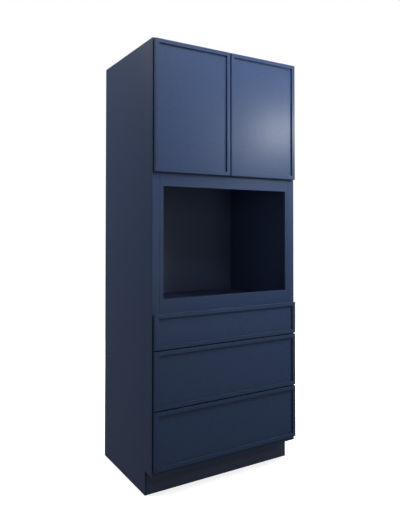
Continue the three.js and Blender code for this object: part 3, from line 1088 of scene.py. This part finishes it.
@dataclass(frozen=True)
class Carcass(Assembly):
    """The side panels and the boards between them."""

    edge: float = 0.8 * MM
    side_edge: float = 0.6 * MM
    groove_depth: float = 6.35 * MM
    deck_tongue: float = 12.7 * MM
    hole_radius: float = 2.5 * MM
    hole_depth: float = 9.5 * MM
    hole_pitch: float = 32.0 * MM
    holes_each_way: int = 3
    hole_sides: int = 20
    pin: ShelfPin = ShelfPin()
    back_screw: CrossHeadScrew = CrossHeadScrew(4.0 * MM, 0.8 * MM, 0.7 * MM)
    back_screw_margin: float = 60.0 * MM
    back_screw_count: int = 7
    back_screw_sunk: float = 0.1 * MM
    sink_gaps: Point = (0.1 * MM, 0.7 * MM)
    sink_sides: int = 20

    def build(self) -> None:
        """Makes the carcass."""
        for side in Side:
            node = f"side_panel_{side.value}"
            fit(f"{side.value}_side", self._side(side, node), CABINET, self.finishes.paint, [node])
        # the top and back panels take the greyer navy, whose grey is painted reflection
        self.board("top_panel", self.edge, self.finishes.back)
        self.board("toe_kick_board", self.edge, self.finishes.kick)
        for node in ("bottom_panel", "cupboard_floor", "hanging_rail"):
            self.board(node, self.edge, self.finishes.inside)
        # the oven deck takes the darker navy, which is painted shade
        fit("oven_deck_tongued", self._deck(), CABINET, self.finishes.deck, ["oven_deck"])
        fit("back_panel_countersunk", self._back(), CABINET, self.finishes.back, ["back_panel"])
        screws = self.back_screw.placed(self._back_screw_seats(), Axis.Y.unit)
        fit("back_screws", screws, CABINET, self.finishes.zinc)

    def _side(self, side: Side, node: str) -> Draft:
        """A side panel with its toe notch, grooves, rebates and rows of pin holes.

        Args:
            side: The side that it is on.
            node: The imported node.

        Returns:
            The shape.
        """
        low, high = box_of(node)
        toe, notch, back = (
            box_of("toe_kick_board")[0].y, box_of(f"stile_{side.value}")[0].z, box_of("back_panel")[0].y)
        outline = [
            (toe, low.z), (high.y, low.z), (high.y, high.z), (low.y, high.z), (low.y, notch), (toe, notch)]
        panel = Draft().prism(Axis.X, outline, low.x, high.x)
        inner = side.pick(high.x, low.x)
        groove, hole = (
            sorted((inner + side.sign * depth, inner - side.sign * PAST))
            for depth in (self.groove_depth, self.hole_depth))
        front, above = low.y - PAST, high.z + PAST
        housings = []
        for housed in HOUSED_BOARDS:
            board_low, board_high = box_of(housed)
            board_top = min(board_high.z, board_low.z + self.deck_tongue)
            housings.append((front, back, board_low.z - JOINT_GAP, board_top + JOINT_GAP))
        housings += [
            (front, back, box_of("top_panel")[0].z - JOINT_GAP, above),
            (back - JOINT_GAP, high.y + PAST, low.z - PAST, above)]
        for y_low, y_high, z_low, z_high in housings:
            panel.cut(Draft().block((groove[0], y_low, z_low), (groove[1], y_high, z_high)))
        drill = Draft()
        for place in ("front", "back"):
            pin_low, pin_high = box_of(f"shelf_pin_{side.value}_{place}")
            for step in range(-self.holes_each_way, self.holes_each_way + 1):
                height = pin_high.z - self.pin.peg_radius + step * self.hole_pitch
                spot = ((pin_low.y + pin_high.y) / 2, height)
                drill.bar(Axis.X, spot, self.hole_radius, *hole, self.hole_sides)
        return panel.cut(drill).ease(self.side_edge)

    def _deck(self) -> Draft:
        """The oven deck, with its ends cut down to tongues.

        Returns:
            The shape.
        """
        low, high = box_of("oven_deck")
        deck, shoulder = Draft().block(low, high), self.groove_depth
        for start, end in ((low.x - PAST, low.x + shoulder), (high.x - shoulder, high.x + PAST)):
            deck.cut(Draft().block(
                (start, low.y - PAST, low.z + self.deck_tongue), (end, high.y + PAST, high.z + PAST)))
        return deck.ease(self.edge)

    def _back(self) -> Draft:
        """The back panel, countersunk for its screws.

        Returns:
            The shape.
        """
        low, high = box_of("back_panel")
        sinks, radius = Draft(), self.back_screw.radius
        floor_gap, mouth_gap = self.sink_gaps
        for seat in self._back_screw_seats():
            profile = [(radius + floor_gap, seat.y), (radius + mouth_gap, high.y + self.back_screw_sunk)]
            sinks.turned(Axis.Y, (seat.x, seat.z), profile, self.sink_sides)
        return eased_block(low, high, self.edge).cut(sinks)

    def _back_screw_seats(self) -> list[Vector]:
        """Places the screws that hold the back to the hanging rail and the boards.

        Returns:
            Their seats.
        """
        low, high = box_of("back_panel")
        first, reach = low.x + self.back_screw_margin, high.x - low.x - 2 * self.back_screw_margin
        depth = high.y - self.back_screw.height - self.back_screw_sunk
        return [
            Vector((first + step * reach / (self.back_screw_count - 1), depth, middle(*box_of(node)).z))
            for node in (*HOUSED_BOARDS, "hanging_rail") for step in range(self.back_screw_count)]


@dataclass(frozen=True)
class FaceFrame(Assembly):
    """The stiles, rails and oven fillers."""

    edge: float = 1.0 * MM
    nodes: tuple[str, ...] = (
        "stile_left", "stile_right", "bottom_rail", "lower_drawer_rail", "upper_drawer_rail",
        "lower_oven_rail", "upper_oven_rail", "top_rail", "oven_filler_left", "oven_filler_right")

    def build(self) -> None:
        """Makes the face frame's members."""
        for node in self.nodes:
            self.board(node, self.edge, self.finishes.paint)


@dataclass(frozen=True)
class ShelfSet(Assembly):
    """The adjustable shelf and its pins."""

    edge: float = 1.2 * MM
    pin: ShelfPin = ShelfPin()

    def build(self) -> None:
        """Makes the shelf and the four pins."""
        self.board("adjustable_shelf", self.edge, self.finishes.inside)
        for side in Side:
            for place in ("front", "back"):
                node = f"shelf_pin_{side.value}_{place}"
                fit(f"{node}_pressed", self.pin.draft(node, side), CABINET, self.finishes.nickel, [node])


@dataclass(frozen=True)
class FramedFront:
    """A slim mitred frame round a recessed panel."""

    border: float = 19.05 * MM
    recess: float = 8.85 * MM
    lap: float = 6.0 * MM
    long_edge: float = 1.2 * MM
    mitre_edge: float = 0.15 * MM
    mitre_gap: float = 0.04 * MM
    panel_edge: float = 0.5 * MM
    shortest_member: float = 0.1

    def build(self, name: str, body: str, finish: Finish, bores: Callable[[], Draft] | None = None) -> None:
        """Makes the frame and the panel of one front.

        Args:
            name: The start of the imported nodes' names.
            body: The body that the front rides on.
            finish: Its finish.
            bores: Makes the cutter for the hinge cups, or None.
        """
        frame = self._frame(*box_of(f"{name}_frame"))
        panel = eased_block(*box_of(f"{name}_panel"), self.panel_edge)
        for kind, part, shape in (("mitred", "frame", frame), ("flat", "panel", panel)):
            if bores is not None:
                shape.cut(bores())
            fit(f"{name}_{kind}_{part}", shape, body, finish, [f"{name}_{part}"])

    def _frame(self, low: Vector, high: Vector) -> Draft:
        """Four mitred members, rebated behind for the panel.

        Args:
            low: The frame's lowest corner.
            high: The frame's highest corner.

        Returns:
            The shape.
        """
        depth, lap = high.y - low.y, self.border - self.lap
        section = [
            (0.0, 0.0), (self.border, 0.0), (self.border, self.recess), (lap, self.recess), (lap, depth),
            (0.0, depth)]
        frame = Draft()
        for long, wide in ((0, 2), (2, 0)):
            for outer, inward in ((low[wide], 1), (high[wide], -1)):
                rings: list[list[Vector]] = []
                for end, ahead in ((low[long], 1), (high[long], -1)):
                    rings.append([])
                    for inset, behind in section:
                        place = Vector((0.0, low.y + behind, 0.0))
                        place[wide] = outer + inward * inset
                        place[long] = end + ahead * (inset + self.mitre_gap)
                        rings[-1].append(place)
                member = Draft().skin(rings)
                member.ease(self.long_edge, 3, lambda line: line.calc_length() > self.shortest_member)
                frame.with_copy(member.ease(self.mitre_edge, 1))
        return frame


@dataclass(frozen=True)
class Door(Assembly):
    """A cupboard door with its hinge cups."""

    side: Side
    heights: tuple[str, ...] = ("lower", "upper")
    front: FramedFront = FramedFront()
    cup: HingeCup = HingeCup()
    base: HingeBase = HingeBase()

    def build(self) -> None:
        """Makes the door, its cups and the hinge bases on the stile."""
        body, nickel = f"{self.side.value}_door", self.finishes.nickel
        self.front.build(body, body, self.finishes.paint, self._bores)
        for height in self.heights:
            cup, base = (f"hinge_{half}_{self.side.value}_{height}" for half in ("cup", "base"))
            fit(f"{cup}_pressed", self.cup.draft(cup), body, nickel, [cup])
            fit(f"{base}_pressed", self.base.draft(base, self.side), CABINET, nickel, [base])

    def _bores(self) -> Draft:
        """The round bores that the hinge cups sit in.

        Returns:
            Their cutter.
        """
        bores, radius = Draft(), self.cup.cup_radius + JOINT_GAP
        for height in self.heights:
            low, high = box_of(f"hinge_cup_{self.side.value}_{height}")
            centre = middle(low, high)
            bores.bar(
                Axis.Y, (centre.x, centre.z), radius, low.y - JOINT_GAP, high.y + PAST, self.cup.cup_sides)
        return bores


@dataclass(frozen=True)
class Drawer(Assembly):
    """A drawer: its front, its dovetailed box and its pair of runners."""

    level: Level
    front: FramedFront = FramedFront()
    runner: Runner = Runner()
    wall: float = 12.7 * MM
    bottom_thickness: float = 6.35 * MM
    bottom_rise: float = 12.7 * MM
    bottom_edge: float = 0.3 * MM
    groove_depth: float = 6.0 * MM
    tail_pitch: float = 38.0 * MM
    tail_share: float = 0.5
    tail_slope: float = 2.2 * MM
    tail_gap: float = 0.08 * MM
    tail_past: float = 0.1
    edge: float = 0.4 * MM
    lip_gap: float = 1.9 * MM
    bracket: float = 24.0 * MM
    low_front: float = 100.0 * MM
    screw_row: tuple[float] = (0.5,)
    screw_rows: Point = (0.25, 0.75)
    screw_spread: float = 0.72
    front_screw: CrossHeadScrew = CrossHeadScrew(4.5 * MM, 0.95 * MM, 0.8 * MM)

    @property
    def body(self) -> str:
        """The moving body of this drawer."""
        return f"{self.level.value}_drawer"

    @property
    def box(self) -> tuple[Vector, Vector]:
        """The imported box's lowest and highest corners."""
        return box_of(f"{self.body}_box")

    def build(self) -> None:
        """Makes every piece of the drawer and its runners."""
        name, plywood = self.body, self.finishes.plywood
        self.front.build(f"{name}_front", name, self.finishes.paint)
        low, high = self.box
        for side in Side:
            start = side.pick(low.x, high.x - self.wall)
            ply = plywood(Axis.Y, Axis.X, start)
            fit(f"{name}_{side.value}_board", self._side_board(start), name, ply, [f"{name}_box"])
        for place, start, way in (("front", low.y, -1), ("back", high.y - self.wall, 1)):
            ply = plywood(Axis.X, Axis.Y, start)
            fit(f"{name}_{place}_board", self._end_board(start, way), name, ply, [f"{name}_box"])
        sheet = box_of(f"{name}_bottom")
        ply = plywood(Axis.X, Axis.Z, sheet[0].z)
        fit(f"{name}_bottom_sheet", eased_block(*sheet, self.bottom_edge), name, ply, [f"{name}_bottom"])
        screws = self.front_screw.placed(self._front_screw_seats(), Axis.Y.unit)
        fit(f"{name}_front_screws", screws, name, self.finishes.zinc)
        for side in Side:
            self._fit_runners(side)

    def _front_screw_seats(self) -> list[Vector]:
        """Places the screws that hold the front, on the box's inner face.

        Returns:
            Their seats.
        """
        low, high = self.box
        floor = low.z + self.bottom_rise + self.bottom_thickness
        rows = self.screw_row if high.z - floor < self.low_front else self.screw_rows
        return [
            Vector((x * self.screw_spread, low.y + self.wall, floor + (high.z - floor) * share))
            for share in rows for x in (low.x, high.x)]

    def _fit_runners(self, side: Side) -> None:
        """Makes the fixed and the sliding runner of one side.

        Args:
            side: The side that they are on.
        """
        sliding = f"{self.body}_runner_{side.value}"
        fixed = f"{self.level.value}_cabinet_runner_{side.value}"
        lip, web = side.outer_and_inner(*box_of(sliding))
        zinc, draft = self.finishes.zinc, self.runner.draft
        fit(f"{sliding}_folded", draft(sliding, web, lip), self.body, zinc, [sliding])
        lip = web + side.sign * (self.lip_gap - JOINT_GAP)
        member = draft(fixed, side.outer_and_inner(*box_of(fixed))[0], lip, self.bracket)
        fit(f"{fixed}_folded", member, CABINET, zinc, [fixed])

    def _tails(self) -> list[Point]:
        """Divides the height among the dovetails.

        Returns:
            The low and high Z of each one at its narrow end.
        """
        low, high = (corner.z for corner in self.box)
        count = max(2, round((high - low) / self.tail_pitch))
        pitch = (high - low) / count
        half = pitch * self.tail_share / 2
        centres = [low + (step + 0.5) * pitch for step in range(count)]
        return [(centre - half, centre + half) for centre in centres]

    def _side_board(self, start: float) -> Draft:
        """A side board, with tails at both ends and a groove for the bottom.

        Args:
            start: X of its left face.

        Returns:
            The shape.
        """
        (low, high), flare = self.box, self.tail_slope
        front, back = low.y + self.wall, high.y - self.wall
        falling: list[Point] = []
        rising: list[Point] = []
        for under, over in self._tails():
            falling = [(front, over), (low.y, over + flare), (low.y, under - flare), (front, under), *falling]
            rising += [(back, under), (high.y, under - flare), (high.y, over + flare), (back, over)]
        outline = [*falling, (front, low.z), (back, low.z), *rising, (back, high.z), (front, high.z)]
        board = Draft().prism(Axis.X, outline, start, start + self.wall)
        return board.cut(self._groove()).ease(self.edge, 2)

    def _end_board(self, start: float, way: int) -> Draft:
        """A front or back board, with pins between the side boards' tails.

        Args:
            start: Y of its front face.
            way: The sign of Y out of the box.

        Returns:
            The shape.
        """
        low, high = self.box
        board = Draft().block((low.x, start, low.z), (high.x, start + self.wall, high.z))
        root, tip = (start + self.wall, start) if way < 0 else (start, start + self.wall)
        past = (tip - root) * self.tail_past
        narrow, flare = self.tail_slope * self.tail_past, self.tail_slope * (1 + self.tail_past)
        sockets = Draft()
        for x_low, x_high in ((low.x - PAST, low.x + self.wall), (high.x - self.wall, high.x + PAST)):
            for tail_low, tail_high in self._tails():
                near_low, near_high = tail_low - self.tail_gap, tail_high + self.tail_gap
                sockets.prism(Axis.X, [
                    (root - past, near_low + narrow), (root - past, near_high - narrow),
                    (tip + past, near_high + flare), (tip + past, near_low - flare)], x_low, x_high)
        return board.cut(sockets).cut(self._groove()).ease(self.edge, 2)

    def _groove(self) -> Draft:
        """The cutter for the groove that holds the bottom.

        Returns:
            The shape.
        """
        low, high = self.box
        reach, floor = self.wall - self.groove_depth, low.z + self.bottom_rise
        return Draft().block(
            (low.x + reach, low.y + reach, floor - JOINT_GAP),
            (high.x - reach, high.y - reach, floor + self.bottom_thickness + JOINT_GAP))


@dataclass(frozen=True)
class StudioCamera:
    """The camera at the photograph's viewing angle."""

    place: Place = (-1.466813, -2.541778, 1.247756)
    turn: float = math.radians(32.089)
    tilt: float = math.radians(1.035)
    lens: float = 36.258
    sensor: float = 36.0
    far_end: float = 200.0
    shift: Point = (-0.03565, -0.08840)

    def build(self) -> None:
        """Makes the camera and hands it to the scene."""
        data = bpy.data.cameras.new("studio_camera")
        data.lens, data.sensor_width, data.sensor_fit = self.lens, self.sensor, "AUTO"
        data.shift_x, data.shift_y = self.shift
        data.clip_end = self.far_end
        camera = add_object("studio_camera", data)
        camera.location = self.place
        camera.rotation_euler = (math.pi / 2 + self.tilt, 0.0, -self.turn)
        bpy.context.scene.camera = camera


@dataclass(frozen=True)
class SoftLamp:
    """A round area lamp that isn't seen itself."""

    name: str
    place: Place
    aim: Place
    power: float
    size: float
    tint: Colour = WHITE
    spread: float = 180.0

    def build(self) -> None:
        """Makes the lamp."""
        data = bpy.data.lights.new(self.name, "AREA")
        data.shape, data.size, data.energy, data.color = "DISK", self.size, self.power, self.tint
        data.spread = math.radians(self.spread)
        lamp = add_object(self.name, data)
        lamp.location = self.place
        lamp.rotation_euler = (Vector(self.aim) - Vector(self.place)).to_track_quat("-Z", "Y").to_euler()
        lamp.visible_camera = False


@dataclass(frozen=True)
class Studio:
    """A white room without walls: lamps, a pale floor, a grey screen and an even sky."""

    lamps: tuple[SoftLamp, ...] = (
        SoftLamp("door_lamp", (0.98, -1.146, 1.955), (0.14, -0.294, 1.67), 9.7, 0.24, (1.0, 1.0, 0.94)),
        SoftLamp("overhead_lamp", (0.181, -1.094, 3.0), (0.0, -0.294, 1.5), 15.4, 0.7, (0.96, 0.96, 1.04)),
        SoftLamp("side_back_lamp", (-2.8, 1.6, 3.1), (-0.42, 0.05, 1.7), 65.0, 1.4, (1.01, 0.99, 1.0)),
        SoftLamp("low_lamp", (0.4, -2.9, 0.9), (0.0, -0.29, 0.9), 7.3, 1.0, (1.04, 1.02, 0.95)),
        SoftLamp("right_high_lamp", (2.1, -2.6, 2.24), (0.35, -0.294, 1.75), 17.2, 0.5, (0.97, 1.0, 1.04)),
        SoftLamp("upper_lamp", (0.1, -2.0, 2.9), (0.1, -0.29, 1.9), 2.1, 0.8, (0.98, 0.98, 1.02), 60.0),
        SoftLamp("left_lamp", (-1.0, -2.6, 1.7), (0.0, -0.29, 2.3), 1.65, 0.8, spread=80.0),
        SoftLamp("bay_lamp", (-0.12, -0.30, 1.22), (0.42, -0.12, 1.14), 0.18, 0.24),
        SoftLamp("right_lamp", (2.8, 0.9, 2.4), (0.42, 0.05, 1.2), 45.0, 1.6),
        SoftLamp("back_lamp", (0.5, 3.0, 2.0), (0.0, 0.31, 1.15), 48.0, 1.6),
    )
    ambient: float = 0.073
    floor_half: float = 20.0
    floor_cells: int = 8
    floor_bounce: float = 0.30
    floor_white: float = 0.80
    floor_glow: Point = (0.76, 1.0)
    glow_reach: Point = (0.6, 2.4)
    screen_radius: float = 6.0
    screen_height: float = 4.5
    screen_tone: float = 0.165
    screen_sides: int = 64
    screen_unseen_by: tuple[str, ...] = ("camera", "diffuse", "transmission", "shadow", "volume_scatter")

    def build(self) -> None:
        """Makes the lamps, the floor, the screen and the sky."""
        for lamp in self.lamps:
            lamp.build()
        self._floor()
        self._screen()
        self._sky()

    @staticmethod
    def _seen(wiring: Wiring) -> object:
        """Finds the rays that show the background itself: camera, glossy and transmission rays.

        Args:
            wiring: The wiring of a material or the world.

        Returns:
            A socket that is 1 for those rays.
        """
        path = wiring.add("LightPath")
        shown = wiring.math("ADD", path["Is Camera Ray"], path["Is Glossy Ray"])
        return wiring.math("ADD", shown, path["Is Transmission Ray"], clamp=True)

    @staticmethod
    def _prop(
        name: str, draft: Draft, shade: Callable[[Wiring], object], unseen_by: Iterable[str] = (),
    ) -> bpy.types.Object:
        """Makes a thing that isn't part of the cabinet.

        Args:
            name: Its name.
            draft: Its shape.
            shade: Wires its shader and gives the shader's output.
            unseen_by: The kinds of rays that pass it by.

        Returns:
            The object.
        """
        material = bpy.data.materials.new(name)
        material.use_nodes = True
        nodes = material.node_tree.nodes
        nodes.remove(nodes["Principled BSDF"])
        wiring = Wiring(material.node_tree)
        wiring.fill(nodes["Material Output"].inputs["Surface"], shade(wiring))
        thing = add_object(name, draft.made(name))
        thing.data.materials.append(material)
        for ray in unseen_by:
            setattr(thing, f"visible_{ray}", False)
        return thing

    def _floor(self) -> None:
        """A pale floor that looks white and keeps the cabinet's shadow."""
        plane = Draft()
        cells = self.floor_cells
        bmesh.ops.create_grid(plane.mesh, x_segments=cells, y_segments=cells, size=self.floor_half)
        floor = self._prop("studio_floor", plane, self._floor_shade)

    def _floor_shade(self, wiring: Wiring) -> object:
        """A dim floor for the light it gives back, and a white one where it is seen.

        Args:
            wiring: The material's wiring.

        Returns:
            The shader's output.
        """
        bounce = wiring.add("BsdfDiffuse", Color=shaded(WHITE, self.floor_bounce))[0]
        white = wiring.add("BsdfDiffuse", Color=shaded(WHITE, self.floor_white))[0]
        away = wiring.vector("LENGTH", wiring.add("TexCoord")["Object"])["Value"]
        strength = wiring.spread(away, *self.glow_reach, *self.floor_glow)
        glow = wiring.add("Emission", Color=shaded(WHITE), Strength=strength)[0]
        shown = wiring.add("AddShader", in0=white, in1=glow)[0]
        return wiring.add("MixShader", in0=self._seen(wiring), in1=bounce, in2=shown)[0]

    def _screen(self) -> None:
        """A grey cloth under and all round, which only gloss and metal see: it keeps the navy deep."""
        cloth, radius, sides = Draft(), self.screen_radius, self.screen_sides
        bmesh.ops.create_cone(
            cloth.mesh, cap_ends=False, segments=sides, radius1=radius, radius2=radius,
            depth=self.screen_height, matrix=Matrix.Translation((0, 0, self.screen_height / 2)))
        bmesh.ops.create_circle(
            cloth.mesh, cap_ends=True, segments=sides, radius=radius, matrix=Matrix.Translation((0, 0, MM)))
        screen = self._prop("studio_screen", cloth, self._screen_shade, self.screen_unseen_by)

    def _screen_shade(self, wiring: Wiring) -> object:
        """The even grey of the cloth."""
        return wiring.add("Emission", Color=shaded(WHITE), Strength=self.screen_tone)[0]

    def _sky(self) -> None:
        """A dim even sky for the light, and a white one for what is seen."""
        world = bpy.data.worlds.new("studio_sky")
        bpy.context.scene.world = world
        world.use_nodes = True
        world.node_tree.nodes.clear()
        wiring = Wiring(world.node_tree)
        light, white = (
            wiring.add("Background", Color=shaded(WHITE), Strength=strength)[0]
            for strength in (self.ambient, 1.0))
        mix = wiring.add("MixShader", in0=self._seen(wiring), in1=light, in2=white)[0]
        wiring.add("OutputWorld", Surface=mix)


def main() -> None:
    """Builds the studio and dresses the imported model."""
    logging.basicConfig(level=logging.INFO, format="%(name)s: %(message)s")
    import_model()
    StudioCamera().build()
    Studio().build()
    bpy.context.scene.view_settings.view_transform = "Standard"
    build_effects()
    assemblies = [
        Carcass(), FaceFrame(), ShelfSet(),
        *(Door(side) for side in Side),
        *(Drawer(level) for level in Level),
    ]
    for assembly in assemblies:
        log.info("building %s", type(assembly).__name__)
        assembly.build()


if __name__ == "__main__":
    main()
